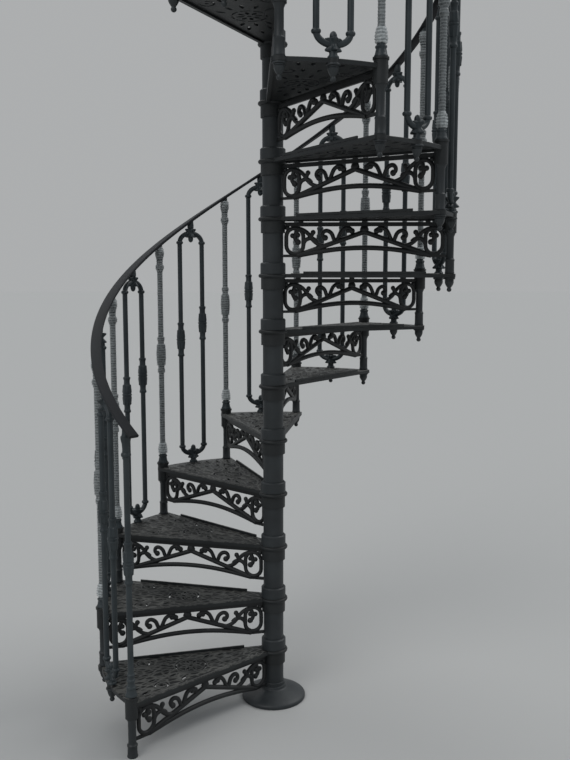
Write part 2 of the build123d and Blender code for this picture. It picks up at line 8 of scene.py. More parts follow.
# %% Load the packed model as a fixed frame
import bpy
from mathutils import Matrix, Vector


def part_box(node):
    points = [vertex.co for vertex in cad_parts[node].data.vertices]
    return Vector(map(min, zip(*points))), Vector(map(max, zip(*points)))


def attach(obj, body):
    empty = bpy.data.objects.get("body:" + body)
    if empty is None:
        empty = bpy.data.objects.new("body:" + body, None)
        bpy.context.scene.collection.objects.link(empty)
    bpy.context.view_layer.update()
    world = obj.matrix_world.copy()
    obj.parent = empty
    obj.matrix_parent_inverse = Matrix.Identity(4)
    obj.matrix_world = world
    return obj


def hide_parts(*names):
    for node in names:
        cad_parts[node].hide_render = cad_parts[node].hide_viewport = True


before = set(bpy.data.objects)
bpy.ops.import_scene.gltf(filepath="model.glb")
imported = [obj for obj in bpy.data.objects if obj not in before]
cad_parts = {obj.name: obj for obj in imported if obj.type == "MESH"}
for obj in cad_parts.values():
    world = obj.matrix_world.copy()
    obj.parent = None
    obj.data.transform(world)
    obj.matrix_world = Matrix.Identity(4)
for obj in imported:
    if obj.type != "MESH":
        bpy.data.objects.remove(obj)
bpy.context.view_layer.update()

# %% Python's and Blender's own tools
from math import asin, atan2, cos, hypot, pi, radians, sin

import bpy
from mathutils import Matrix, Vector

MM = 0.001


def added(name, data):
    """A new object with this data, linked into the scene."""
    thing = bpy.data.objects.new(name, data)
    bpy.context.scene.collection.objects.link(thing)
    return thing


print("lengths are in millimetres, and a millimetre is", MM, "m")

# %% [markdown]
# ## The camera
# The photograph was taken from eye height, about 3.3 m from the column, with the camera tipped a
# little down. The place and the lens were found by fitting a pinhole camera to the balls, posts and
# column rings of the stair. A camera looks along its own -Z, so it is turned with to_track_quat.

# %% Put the camera where the photograph was taken
camera_place = Vector((0.0026, -3.2904, 1.6644))
camera_yaw = radians(0.744)
camera_pitch = radians(6.839)
camera_lens = 41.008
ahead = Vector((sin(camera_yaw) * cos(camera_pitch),
                cos(camera_yaw) * cos(camera_pitch), -sin(camera_pitch)))
camera_data = bpy.data.cameras.new("photograph")
camera_data.lens = camera_lens
camera_data.sensor_width = 36.0
camera_data.sensor_fit = "AUTO"
camera = added("photograph", camera_data)
camera.location = camera_place
camera.rotation_euler = ahead.to_track_quat("-Z", "Y").to_euler()
bpy.context.scene.camera = camera
print("camera", [round(x, 3) for x in camera_place], "lens", camera_lens)

# %% [markdown]
# ## The rule of the flight
# A spiral stair is one step, repeated: each next step is lifted by the rise and turned by the step
# angle. The heights and the circle of the posts are read from the boxes of the CAD nodes, so that the
# pieces below follow the CAD model if its sizes change. Lengths are written in millimetres and turned
# into metres where a mesh or a node takes them.

# %% Read the rise and the post circle from the CAD nodes
tread_count = 12
step_angle = radians(28.19)
socket_above = 20.0
post_low, post_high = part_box("floor_post")
post_middle = (post_low + post_high) / 2
post_circle = round(hypot(post_middle.x, post_middle.y) / MM, 2)
start_bearing = atan2(post_middle.y, post_middle.x)
first_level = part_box("tread_01")[1].z / MM - socket_above
rise = (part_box("tread_02")[1].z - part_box("tread_01")[1].z) / MM
mid_bearing = -step_angle / 2
rail_slope = rise / (step_angle * post_circle)
print("post circle", post_circle, "first level", round(first_level, 1), "rise", round(rise, 1))

# %% Helpers that give the place of a step
def at_step(number):
    """The place of a step: its front line along X, its body on the -Y side, its top face at Z = 0."""
    lift = Matrix.Translation((0, 0, (first_level + (number - 1) * rise) * MM))
    return lift @ Matrix.Rotation(start_bearing - (number - 1) * step_angle, 4, "Z")


def turned(x, y, angle):
    """A point of the plan turned about the column."""
    return x * cos(angle) - y * sin(angle), x * sin(angle) + y * cos(angle)


def beside(x, y=0.0, z=0.0, angle=0.0):
    """A place on a step, in its own frame, turned by an angle about its own upright axis."""
    return Matrix.Translation(Vector((x, y, z)) * MM) @ Matrix.Rotation(angle, 4, "Z")


landing_number = tread_count + 1
print("landing", landing_number, "at", round(first_level + tread_count * rise, 1))

# %% [markdown]
# ## Forms as lists of points and faces
# A mesh is a list of points and a list of faces. A form here is just that pair, in millimetres, so
# forms are easy to place, to join and to repeat before Blender sees them. Two makers cover nearly all
# of a cast stair: turning a profile round an upright axis, and sweeping a section along a flat line.

# %% Make, place and join forms
def placed(form, matrix):
    """The form moved by a matrix whose shift is in metres."""
    points, faces = form
    return [(matrix @ (Vector(p) * MM)) / MM for p in points], faces


def joined(*forms):
    """Several forms as one."""
    points, faces = [], []
    for form_points, form_faces in forms:
        start = len(points)
        points.extend(form_points)
        faces.extend([tuple(index + start for index in face) for face in form_faces])
    return points, faces


def smooth(mesh, crease):
    """Shades the mesh smooth, but keeps the edges that bend by more than the crease sharp."""
    mesh.polygons.foreach_set("use_smooth", [True] * len(mesh.polygons))
    mesh.set_sharp_from_angle(angle=radians(crease))


def to_piece(name, form, crease=35.0):
    """A Blender object from a form."""
    mesh = bpy.data.meshes.new(name)
    mesh.from_pydata([Vector(p) * MM for p in form[0]], [], form[1])
    smooth(mesh, crease)
    return added(name, mesh)


dot = ([(0, 0, 0)], [])
print("two joined dots have", len(joined(dot, dot)[0]), "points")

# %% Turn a profile round an upright axis
def lathe(rows, sides=24, lobes=8, tilt=0.0):
    """Rows of (height, radius) or (height, radius, depth of the lobes), from the bottom up.

    The tilt raises the top ring with -Y, so that it follows the slope of the rail over it."""
    points, faces = [], []
    for row in rows:
        height, radius = row[0], row[1]
        depth = row[2] if len(row) > 2 else 0.0
        for k in range(sides):
            angle = 2 * pi * k / sides
            reach = radius - depth * (0.5 - 0.5 * cos(lobes * angle))
            points.append((reach * cos(angle), reach * sin(angle), height))
    for ring in range(len(rows) - 1):
        for k in range(sides):
            here, there = ring * sides + k, ring * sides + (k + 1) % sides
            faces.append((here, there, there + sides, here + sides))
    points.append((0, 0, rows[0][0]))
    points.append((0, 0, rows[-1][0]))
    last = (len(rows) - 1) * sides
    for k in range(sides):
        faces.append((len(points) - 2, (k + 1) % sides, k))
        faces.append((len(points) - 1, last + k, last + (k + 1) % sides))
    if tilt:
        top = rows[-1][0]
        points = [(x, y, z - tilt * y if z == top else z) for x, y, z in points]
    return points, faces


def raised(rows, lift):
    """The rows of a profile, moved up by the lift."""
    return [(lift + row[0], *row[1:]) for row in rows]


def mirrored(rows):
    """The rows of a profile, turned upside down about the height 0."""
    return [(-row[0], *row[1:]) for row in rows[::-1]]


print("a turned bead has", len(lathe([(0, 1), (1, 2), (2, 1)])[1]), "faces")

# %% Sweep a section along a flat line
def swept(line, section, normal, closed=False):
    """Sweeps the section along a line that lies flat. The section's first number is measured to the
    side of the line and its second along the normal of the plane that the line lies in. A section is
    listed clockwise, with the normal up, so that the faces point outwards."""
    points, faces = [], []
    normal = Vector(normal)
    line = [Vector(p) for p in line]
    count, size = len(line), len(section)
    for k in range(count):
        before = line[k - 1] if closed or k else line[0]
        after = line[(k + 1) % count] if closed or k < count - 1 else line[-1]
        side = normal.cross((after - before).normalized())
        points.extend([line[k] + side * a + normal * b for a, b in section])
    for k in range(count if closed else count - 1):
        here, there = k * size, (k + 1) % count * size
        for j in range(size):
            faces.append((here + j, there + j, there + (j + 1) % size, here + (j + 1) % size))
    if not closed:
        faces.append(tuple(range(size)))
        faces.append(tuple(range((count - 1) * size, count * size))[::-1])
    return points, faces


def round_section(radius, sides=14):
    """A circle as a section."""
    return [(radius * cos(2 * pi * k / sides), -radius * sin(2 * pi * k / sides)) for k in range(sides)]


def arc(centre, radius, start, sweep, steps, stretch=1.0):
    """Points on an arc or, with a stretch of its second axis, on an ellipse."""
    return [(centre[0] + radius * cos(start + sweep * k / steps),
             centre[1] + radius * stretch * sin(start + sweep * k / steps)) for k in range(steps + 1)]


print("a swept bar has", len(swept([(0, 0, 0), (0, 9, 0)], round_section(1), (0, 0, 1))[1]), "faces")

# %% [markdown]
# ## Adding nodes from Python
# Geometry Nodes and materials are both trees of nodes. One small class adds any node. It takes the
# node's type, the values or links of its sockets, and its settings by name, which it sets first,
# because a setting can change what sockets there are. A second small class wraps a socket, so that a
# sum such as 0.4 + 0.2 * grain can be written as it is read, and adds the Math nodes itself.

# %% A class that adds nodes, and one that does sums on their sockets
class Value:
    """A socket that gives numbers. A sum on it adds a Math node."""

    def __init__(self, nodes, socket):
        self.nodes = nodes
        self.socket = socket

    def math(self, operation, first, second):
        """One Math node, for a sum that has no sign in Python too."""
        return self.nodes.add("ShaderNodeMath", {0: first, 1: second}, operation=operation)

    def __add__(self, other):
        return self.math("ADD", self, other)

    def __sub__(self, other):
        return self.math("SUBTRACT", self, other)

    def __rsub__(self, other):
        return self.math("SUBTRACT", other, self)

    def __mul__(self, other):
        return self.math("MULTIPLY", self, other)

    def __pow__(self, other):
        return self.math("POWER", self, other)

    __radd__ = __add__
    __rmul__ = __mul__

    def within(self, low, high):
        """How far the value is from low to high, kept from 0 to 1."""
        sockets = {"Value": self, "From Min": low, "From Max": high}
        return self.nodes.add("ShaderNodeMapRange", sockets, clamp=True)


class Nodes:
    """Adds nodes to one tree."""

    def __init__(self, tree):
        self.tree = tree

    def add(self, kind, sockets=None, output=0, **settings):
        """Adds a node and gives back one of its outputs, the first if none is named."""
        node = self.tree.nodes.new(kind)
        for name, setting in settings.items():
            setattr(node, name, setting)
        for name, value in (sockets or {}).items():
            if isinstance(value, Value):
                self.tree.links.new(value.socket, node.inputs[name])
            else:
                node.inputs[name].default_value = value
        return Value(self, node.outputs[output]) if len(node.outputs) else node

    def blend(self, share, first, second):
        """A colour from the first to the second, by a share from 0 to 1.

        The Mix node has a set of sockets for each kind of data, and 0, 6, 7 and 2 are the colour's."""
        sockets = {6: first, 7: second}
        colours = {k: c if isinstance(c, Value) else (*c, 1) for k, c in sockets.items()}
        return self.add("ShaderNodeMix", {0: share, **colours}, output=2, data_type="RGBA")

    def part(self, vector, letter):
        """One number of a vector: its X, its Y or its Z."""
        return self.add("ShaderNodeSeparateXYZ", {"Vector": vector}, output=letter)


def cleared(owner):
    """The nodes of a material or a world, without the ones it starts with."""
    owner.use_nodes = True
    owner.node_tree.nodes.clear()
    return Nodes(owner.node_tree)


print("sums on sockets:", [name for name in vars(Value) if name.startswith("__r")])

# %% [markdown]
# ## The climb as Geometry Nodes
# Whatever belongs to every step is made once, on the first step, and this tree repeats it up the
# flight: points, each a rise higher than the last, carry an instance that is turned by the step
# angle. An Array modifier could do the same, but here the count, the rise and the turn have names,
# and one tree serves every piece. The export drops instances, so the tree makes them real at its end.

# %% Build the tree that repeats a piece up the flight
def new_tree(name, **inputs):
    """A geometry tree with named inputs: the tree, what adds its nodes, and its inputs as values."""
    tree = bpy.data.node_groups.new(name, "GeometryNodeTree")
    for label, kind in inputs.items():
        tree.interface.new_socket(label, in_out="INPUT", socket_type="NodeSocket" + kind)
    tree.interface.new_socket("Geometry", in_out="OUTPUT", socket_type="NodeSocketGeometry")
    nodes = Nodes(tree)
    entry = nodes.add("NodeGroupInput").socket.node
    return tree, nodes, {label: Value(nodes, entry.outputs[label]) for label in inputs}


def close_tree(nodes, geometry, material):
    """Ends a tree in Realize Instances and Set Material."""
    real = nodes.add("GeometryNodeRealizeInstances", {"Geometry": geometry})
    painted = nodes.add("GeometryNodeSetMaterial", {"Geometry": real, "Material": material})
    nodes.add("NodeGroupOutput", {"Geometry": painted})


climb, climb_nodes, climb_given = new_tree(
    "climb_the_flight", Piece="Geometry", Count="Int", Rise="Float", Turn="Float", Paint="Material")
number = climb_nodes.add("GeometryNodeInputIndex")
height = climb_nodes.add("ShaderNodeCombineXYZ", {"Z": number * climb_given["Rise"]})
spin = climb_nodes.add("ShaderNodeCombineXYZ", {"Z": number * climb_given["Turn"]})
climb_points = climb_nodes.add("GeometryNodePoints", {
    "Count": climb_given["Count"], "Position": height})
climb_copies = climb_nodes.add("GeometryNodeInstanceOnPoints", {
    "Points": climb_points, "Instance": climb_given["Piece"], "Rotation": spin})
close_tree(climb_nodes, climb_copies, climb_given["Paint"])
print("climb tree has", len(climb.nodes), "nodes")

# %% Run a tree on a piece and keep only the plain mesh
def grow(piece, tree, **values):
    """Sets the tree's inputs by their identifiers, evaluates it, and swaps in the plain mesh."""
    modifier = piece.modifiers.new(tree.name, "NODES")
    modifier.node_group = tree
    for item in tree.interface.items_tree:
        if item.in_out == "INPUT" and item.name in values:
            modifier[item.identifier] = values[item.name]
    piece.update_tag()
    depsgraph = bpy.context.evaluated_depsgraph_get()
    mesh = bpy.data.meshes.new_from_object(piece.evaluated_get(depsgraph), depsgraph=depsgraph)
    mesh.name = piece.name
    piece.modifiers.remove(modifier)
    piece.data = mesh
    print(piece.name, "has", len(mesh.polygons), "faces")
    return piece


def up_the_flight(name, form, paint, count=tread_count, step=1, crease=35.0):
    """A form in the frame of a step, repeated up the flight from that step on."""
    piece = to_piece(name, placed(form, at_step(step)), crease)
    return grow(piece, climb, Count=count, Rise=rise * MM, Turn=-step_angle, Paint=paint)


def belongs(piece, slot, *nodes):
    """Lets the piece ride on the stair and stand for CAD nodes. The slot is not used."""
    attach(piece, "root")
    if nodes:
        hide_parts(*nodes)


print("a piece climbs", round(tread_count * rise), "mm from the first step to the landing")

# %% [markdown]
# ## Black paint on cast iron
# The stair is sand-cast iron under one coat of satin black paint. Close to, such paint is never one
# flat black: the coat is thicker in some places, the grain of the sand shows through as fine bumps,
# and pale building dust lies where a face looks up. Noise at three sizes gives the patches, the runs
# of the paint and the grain, and the dust also dulls the gloss. The dust mask reads the normal, so it
# works on any shape. The treads are cast with a dense low foliage. Its drawing is shader maths: the
# plan is folded so that every step gets the same one, and long cells run outwards from the column
# like leaves. Its veins are painted light grey, a painted highlight with some wear, and the ground
# between them on faces that look up is painted near black, as painted shade in the hollows. The
# raised ribs take a lighter paint, a painted highlight with some dust.

# %% The foliage of a step as shader maths
hub_collar = 45.5
rosette_place = (post_circle + hub_collar) / 2
foliage_scale = 64.0
foliage_stretch = 0.42
vein_ridge, vein_edge = 0.05, 0.19
rosette_rim = 64.0
hub_edge = 56.0
fade = 2.0


def foliage(nodes, place):
    """Raised veins of a cast foliage, 0 to 1, the same on every step.

    The veins are the borders of the cells, and fade out short of the rosette and the hub."""
    x, y = nodes.part(place, "X"), nodes.part(place, "Y")
    reach = (x * x + y * y) ** 0.5
    behind_start = x.math("FLOORED_MODULO", start_bearing - x.math("ARCTAN2", y, x), 2 * pi)
    within_step = x.math("FRACT", behind_start * (1 / step_angle), 0.0)
    angle = (0.5 - within_step) * step_angle
    outward = reach * x.math("COSINE", angle, 0.0) - rosette_place * MM
    across = reach * x.math("SINE", angle, 0.0)
    off_rosette = (outward * outward + across * across) ** 0.5
    folded = nodes.add("ShaderNodeCombineXYZ", {"X": outward * foliage_stretch, "Y": across})
    cells = nodes.add("ShaderNodeTexVoronoi", {"Vector": folded, "Scale": foliage_scale},
                      feature="DISTANCE_TO_EDGE")
    clear_of_rosette = off_rosette.within((rosette_rim - fade) * MM, rosette_rim * MM)
    clear_of_hub = reach.within((hub_edge - fade) * MM, hub_edge * MM)
    return (1.0 - cells.within(vein_ridge, vein_edge)) * clear_of_rosette * clear_of_hub


print("the foliage fades", fade, "mm short of the rosette at", round(rosette_place, 1))

# %% A maker of paints on iron
dust_grey = (0.26, 0.25, 0.235)
# near black of the hollows between the veins: painted shade, darker than the paint itself
hollow_shade_black = (0.002, 0.0024, 0.0024)
# light grey of the vein ridges: a painted highlight, with some wear
vein_highlight_and_wear_grey = (0.19, 0.19, 0.175)
vein_height = 2.2


def noise(nodes, place, scale, detail, roughness=0.5):
    """Soft noise from 0 to 1, finer with a larger scale."""
    return nodes.add("ShaderNodeTexNoise", {
        "Vector": place, "Scale": scale, "Detail": detail, "Roughness": roughness})


def iron_paint(name, dark, light, roughness, grain_height, dust_share, veined=False):
    """Satin paint: two tones in soft patches, sand grain as bump, and dust on what looks up; veined,
    also a painted highlight with some wear on the veins and painted shade between them.
    """
    material = bpy.data.materials.new(name)
    nodes = cleared(material)
    place = nodes.add("ShaderNodeTexCoord", output="Object")
    patches = noise(nodes, place, 9.0, detail=4.0)
    grain = noise(nodes, place, 260.0, detail=3.0)
    runs = noise(nodes, place, 55.0, detail=2.0)
    facing = nodes.add("ShaderNodeNewGeometry", output="Normal")
    upward = nodes.part(facing, "Z").within(0.35, 1.0)
    dust = upward * patches.within(0.35, 0.75) * (0.4 + 0.6 * grain) * dust_share
    tone = nodes.blend(patches.within(0.35, 0.68), dark, light)
    height = 0.7 * grain + 0.6 * runs
    if veined:
        # painted highlight with some wear along the vein ridges, and painted shade near black on the
        # upward ground between them
        veins = foliage(nodes, place) * upward
        shaded_ground = nodes.blend(upward, tone, hollow_shade_black)
        tone = nodes.blend(veins * (0.1 + 0.9 * patches), shaded_ground, vein_highlight_and_wear_grey)
        height = height + vein_height * veins
    bump = nodes.add("ShaderNodeBump", {
        "Strength": 0.55, "Distance": grain_height * MM, "Height": height})
    shader = nodes.add("ShaderNodeBsdfPrincipled", {
        "Base Color": nodes.blend(dust, tone, dust_grey), "Normal": bump,
        "Roughness": roughness + 0.16 * patches + 0.3 * dust, "Specular IOR Level": 0.4})
    nodes.add("ShaderNodeOutputMaterial", {"Surface": shader})
    return material


# %% The six paints
column_paint = iron_paint(
    "column_paint", dark=(0.020, 0.0235, 0.0255), light=(0.033, 0.0385, 0.0415),
    roughness=0.40, grain_height=1.2, dust_share=0.08)
tread_paint = iron_paint(
    "tread_paint", dark=(0.012, 0.0138, 0.0145), light=(0.0215, 0.0245, 0.0255),
    roughness=0.44, grain_height=1.8, dust_share=0.07, veined=True)
# the ribs' tones are far lighter than the iron paint: a painted highlight on the raised ribs, with some
# dust
relief_highlight_and_dust_paint = iron_paint(
    "relief_highlight_and_dust_paint", dark=(0.050, 0.051, 0.049), light=(0.090, 0.091, 0.086),
    roughness=0.38, grain_height=0.8, dust_share=0.30)
riser_paint = iron_paint(
    "riser_paint", dark=(0.009, 0.0100, 0.0105), light=(0.017, 0.0185, 0.019),
    roughness=0.42, grain_height=1.6, dust_share=0.14)
baluster_paint = iron_paint(
    "baluster_paint", dark=(0.023, 0.031, 0.035), light=(0.040, 0.051, 0.056),
    roughness=0.36, grain_height=1.3, dust_share=0.10)
rail_paint = iron_paint(
    "rail_paint", dark=(0.005, 0.0065, 0.0085), light=(0.010, 0.012, 0.0155),
    roughness=0.56, grain_height=0.6, dust_share=0.03)
print("paints", [material.name for material in bpy.data.materials if material.name.endswith("_paint")])

# %% Paint the CAD nodes that keep their own shape
tread_names = [f"tread_{k:02d}" for k in range(1, landing_number)]
riser_names = [f"riser_{k:02d}" for k in range(1, landing_number + 1)]
for paint, names in [
        (column_paint, ["centre_pole", "column_sleeves", "column_top"]),
        (tread_paint, [*tread_names, "landing"]),
        (riser_paint, riser_names),
        (rail_paint, ["landing_bearer"])]:
    for name in names:
        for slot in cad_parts[name].material_slots:
            slot.material = paint
    print(paint.name, "on", len(names), "CAD nodes")

# %% [markdown]
# ## The handrail
# The rail is one long flat bar, bent to a helix that runs over all the posts, with eased edges and a
# slightly crowned top. Geometry Nodes have a Spiral curve, so the rail follows its rule exactly: the
# spiral gives the line, a filleted rectangle gives the section, and Curve to Mesh sweeps one along
# the other. The curve's normals are set to Z up, so the bar never twists. A section stands square to
# its line, so its height is made smaller by the slope's cosine, to be right when it is measured
# upright.

# %% Build the tree of the rail
rail_tree, rail_nodes, rail_given = new_tree(
    "rail_on_a_spiral", Turns="Float", Radius="Float", Climb="Float", Start="Vector", Bearing="Vector",
    Width="Float", Height="Float", Ease="Float", Crown="Float", Paint="Material")
spiral = rail_nodes.add("GeometryNodeCurveSpiral", {
    "Resolution": 190, "Rotations": rail_given["Turns"], "Start Radius": rail_given["Radius"],
    "End Radius": rail_given["Radius"], "Height": rail_given["Climb"], "Reverse": False})
set_down = rail_nodes.add("GeometryNodeTransform", {
    "Geometry": spiral, "Translation": rail_given["Start"], "Rotation": rail_given["Bearing"]})
upright = rail_nodes.add("GeometryNodeSetCurveNormal", {"Curve": set_down}, mode="Z_UP")
oblong = rail_nodes.add("GeometryNodeCurvePrimitiveQuadrilateral", {
    "Width": rail_given["Width"], "Height": rail_given["Height"]})
eased = rail_nodes.add("GeometryNodeFilletCurve", {
    "Curve": oblong, "Radius": rail_given["Ease"], "Count": 4}, mode="POLY")
divided = rail_nodes.add("GeometryNodeSubdivideCurve", {"Curve": eased, "Cuts": 2})
section_place = rail_nodes.add("GeometryNodeInputPosition")
section_x, section_y = rail_nodes.part(section_place, "X"), rail_nodes.part(section_place, "Y")
half_width = rail_given["Width"] * 0.5
inward = 1.0 - (section_x * section_x) * (half_width * half_width) ** -1.0
on_top = section_y.math("LESS_THAN", section_y, 0.0)
lift = rail_nodes.add("ShaderNodeCombineXYZ", {"Y": inward * on_top * rail_given["Crown"] * -1.0})
crowned = rail_nodes.add("GeometryNodeSetPosition", {"Geometry": divided, "Offset": lift})
bar = rail_nodes.add("GeometryNodeCurveToMesh", {
    "Curve": upright, "Profile Curve": crowned, "Fill Caps": True})
close_tree(rail_nodes, bar, rail_given["Paint"])
print("rail tree has", len(rail_tree.nodes), "nodes")

# %% Sweep the handrail over the posts
rail_width = 38.0
rail_height = 14.0
rail_underside = 960.0
rail_tail = radians(4.2)
rail_ease = 3.5
crown_height = 1.4
upright_share = cos(atan2(rise, step_angle * post_circle))
rail_sweep = step_angle * tread_count + 2 * rail_tail
rail_start = first_level + rail_underside + rail_height / 2 - rail_tail / step_angle * rise
handrail = grow(
    added("spiral_handrail", bpy.data.meshes.new("spiral_handrail")), rail_tree,
    Turns=rail_sweep / (2 * pi), Radius=post_circle * MM, Climb=rail_sweep / step_angle * rise * MM,
    Start=(0, 0, rail_start * MM), Bearing=(0, 0, start_bearing + rail_tail), Width=rail_width * MM,
    Height=(rail_height - crown_height) * upright_share * MM, Ease=rail_ease * MM,
    Crown=crown_height * MM, Paint=rail_paint)
smooth(handrail.data, crease=40.0)
belongs(handrail, "rail_iron", "handrail")
print("new rail", [round(v, 3) for v in (*handrail.bound_box[0], *handrail.bound_box[6])])

# %% [markdown]
# ## The bulbs and leaf cups
# Half-way up each upright sits a cast bulb: a plain ring, a cup of eight leaves whose tips stand
# clear of the neck, and a second ring. Turning a profile gives the round form, and letting the radius
# wave eight times round the axis cuts the hollows between the leaves, which is far lighter than
# carving them.

# %% The rows of a bulb
half_bulb = [
    (0, 20.0), (2.5, 19.6), (4, 17.6), (7, 17.4), (8.5, 19.0, 0.8), (13, 19.4, 1.6), (20, 18.8, 2.2),
    (28, 18.0, 2.6), (34, 17.4, 3.2), (38, 17.6, 4.2), (41, 16.6, 4.2), (42.5, 13.4, 0.8), (46, 12.6),
    (54, 12.2), (62, 12.6), (64, 13.8), (67, 14.8), (71, 14.8), (74, 13.4), (75, 10.0)]


def bulb(middle, tube):
    """Rows of a bulb on a tube, from the bottom up."""
    whole = mirrored(half_bulb[1:]) + half_bulb
    return [(middle + row[0], max(row[1], tube), *row[2:]) for row in whole]


bulb_height = 494.0
print("a bulb is", bulb(0, 10)[-1][0] - bulb(0, 10)[0][0], "mm long")

# %% [markdown]
# ## The single balusters
# One turned baluster stands on each corner socket: a moulded foot, a small leafy vase, a long plain
# tube, the bulb, and under the rail a bell-shaped capital between rings. The whole of it is one
# profile turned round the axis. It is made once and climbs the flight by the tree above. Its top is
# tilted with the slope of the rail and ends just inside the bar, so that no gap shows.

# %% The profile of a corner baluster
baluster_tube = 10.5
neck_radius = 12.0
into_rail = 6.0
baluster_foot = [
    (18, 17.5), (19.5, 19.6), (21, 21.4), (25, 21.4), (28, 19.4), (34, 18.2, 0.6), (40, 17.2, 1.2),
    (43, 16.2, 1.0), (45, 16.2, 1.0), (48, 18.2, 2.0), (52, 18.6, 3.0), (55, 17.0, 3.0), (56, 14.2, 0.6),
    (60, 13.0), (68, 12.2), (72, 12.6), (73.5, 14.8), (77, 15.2), (80, 14.2), (82, 12.0), (90, 11.6),
    (93, 12.6), (95, 14.2), (98, 14.2), (100, 12.4), (104, 11.2), (112, baluster_tube)]
capital = [
    (-108, baluster_tube), (-105, 12.4), (-102, 13.2), (-99, 12.4), (-98, 14.6), (-95, 16.6),
    (-90, 17.2), (-86, 16.0), (-83, 13.0), (-76, 12.2), (-66, 12.6), (-54, 14.2, 0.8),
    (-44, 16.6, 1.4), (-36, 18.0, 1.8), (-31, 18.4, 1.8), (-29, 17.0), (-27.5, 14.6), (-22, 13.0),
    (-16, 12.2), (-8, neck_radius)]
baluster_rows = [*baluster_foot, *bulb(bulb_height, baluster_tube), *raised(capital, rail_underside)]


def single_baluster(tilt):
    """A turned baluster on its own axis, with its top in the rail."""
    return lathe([*baluster_rows, (rail_underside + into_rail, neck_radius)], tilt=tilt)


corner_form = placed(single_baluster(rail_slope), beside(post_circle))
corner_balusters = up_the_flight("turned_balusters", corner_form, baluster_paint, count=landing_number)
belongs(corner_balusters, "cast_iron", "corner_balusters")

# %% [markdown]
# ## The leaf ornaments
# Where the two legs of a hairpin meet, two cups of four leaves clasp the bar and open away from each
# other, and a blunt bud stands in the bend. Turned forms serve again: with four deep lobes round the
# axis, a cup becomes four full leaves whose tips curl outwards. One cup is the mirror image of the
# other.

# %% The rows of the cups and the bud
cup_rows = [
    (1, 15.5, 2.0), (5, 18.5, 5.0), (9, 22.5, 9.0), (13, 26.2, 12.5), (16, 27.4, 14.0),
    (18.2, 25.5, 12.5), (19.2, 21.5, 9.0), (18.6, 16.0, 3.5), (18, 12.2, 0.4)]
bud_rows = [
    (19, 10.6, 0.4), (22, 11.6, 1.0), (27, 11.4, 1.2), (32, 10.2, 1.0), (36, 7.8, 0.6), (38.5, 4.6),
    (40, 1.0)]
leaf_ornament = lathe([*mirrored(cup_rows), *cup_rows, *bud_rows], sides=32, lobes=4)
print("a leaf ornament has", len(leaf_ornament[1]), "faces")

# %% [markdown]
# ## The hairpin balusters
# A round bar is bent into a long closed loop whose two legs stand 108 mm apart, at the middle of each
# tread's edge. Each bend is half an ellipse. Rings sit where the bends begin, the bulbs of the two
# legs are staggered with the slope of the rail, and the loop stands on a waisted foot. The line of
# the loop lies flat in one plane, so the sweep from above makes it, and the ornaments are turned
# forms.

# %% The bar of the hairpin
loop_half = 54.0
loop_tube = 10.0
low_ring = 75.0
low_bend = 36.0
high_ring = 976.0
high_bend = 42.0
high_arc = arc((0, high_ring), loop_half, 0, pi, 18, stretch=high_bend / loop_half)
low_arc = arc((0, low_ring), loop_half, pi, pi, 18, stretch=low_bend / loop_half)
loop_line = [(0, y, z) for y, z in high_arc + low_arc]
loop_bar = swept(loop_line, round_section(loop_tube), (1, 0, 0), closed=True)
print("loop line", len(loop_line), "points")

# %% Everything on the hairpin, then the whole set of twelve
ring_rows = [
    (-7, loop_tube), (-6, 12.2), (-3.5, 14.2), (0, 15.0), (3.5, 14.2), (6, 12.2), (7, loop_tube)]
loop_bulb_height = 589.0
loop_top = rail_underside + rise / 2
loop_parts = [loop_bar]
for side in (-1, 1):
    leg = Matrix.Translation((0, side * loop_half * MM, 0))
    middle = loop_bulb_height - side * rail_slope * loop_half
    loop_parts.append(placed(lathe(bulb(middle, loop_tube)), leg))
    for height in (low_ring, high_ring):
        loop_parts.append(placed(lathe(raised(ring_rows, height)), leg))
loop_foot = [(-1, 16.0), (1, 17.4), (4, 17.8), (7, 16.4), (9, 13.6), (13, 12.2), (20, 12.6)]
loop_neck = [(17, 11.6), (20, 11.8), (21.5, 13.0), (25, 13.8), (36, 13.8), (40, 13.0)]
crown_level = high_ring + high_bend
upside_down = Matrix.Translation((0, 0, crown_level * MM)) @ Matrix.Rotation(pi, 4, "X")
loop_parts.append(lathe(loop_foot))
loop_parts.append(placed(leaf_ornament, Matrix.Translation((0, 0, (low_ring - low_bend) * MM))))
loop_parts.append(placed(leaf_ornament, upside_down))
neck_rows = [*raised(loop_neck, crown_level), (loop_top + into_rail, neck_radius)]
loop_parts.append(lathe(neck_rows, tilt=rail_slope))
boss_x, boss_y = turned(post_circle, 0, mid_bearing)
loop_form = placed(joined(*loop_parts), beside(boss_x, boss_y, 0, mid_bearing))
loop_balusters = up_the_flight("hairpin_balusters", loop_form, baluster_paint)
belongs(loop_balusters, "cast_iron", "loop_balusters")

# %% [markdown]
# ## Corner posts and acorn nuts
# A post hangs from the socket of one tread and stands with its shoe on the eye of the tread below,
# where an acorn nut on its stud clamps it. The posts and nuts are turned, with small rolls at their
# edges that catch the light. The first post has a heavier shoe that stands on the floor.

# %% The posts
socket_below = 60.0
shoe_rows = [(0, 17.0), (1.5, 18.0), (6, 18.0), (8, 17.0), (46, 16.6), (48, 17.8), (53, 17.8),
             (56, 15.4), (60, 14.0)]
floor_shoe_rows = [(0, 18.0), (1.5, 19.0), (5, 19.0), (7, 17.6), (38, 17.0), (40, 18.6), (45, 18.6),
                   (48, 15.6), (52, 14.0)]
head_rows = [(-14, 14.0), (-10, 15.6), (-3, 18.6), (0.5, 19.6)]


def post(shoe, drop):
    """A post that hangs from its socket, with its shoe this far below the step's top."""
    rows = raised(shoe, -drop) + raised(head_rows, -socket_below)
    return placed(lathe(rows, sides=28), beside(post_circle))


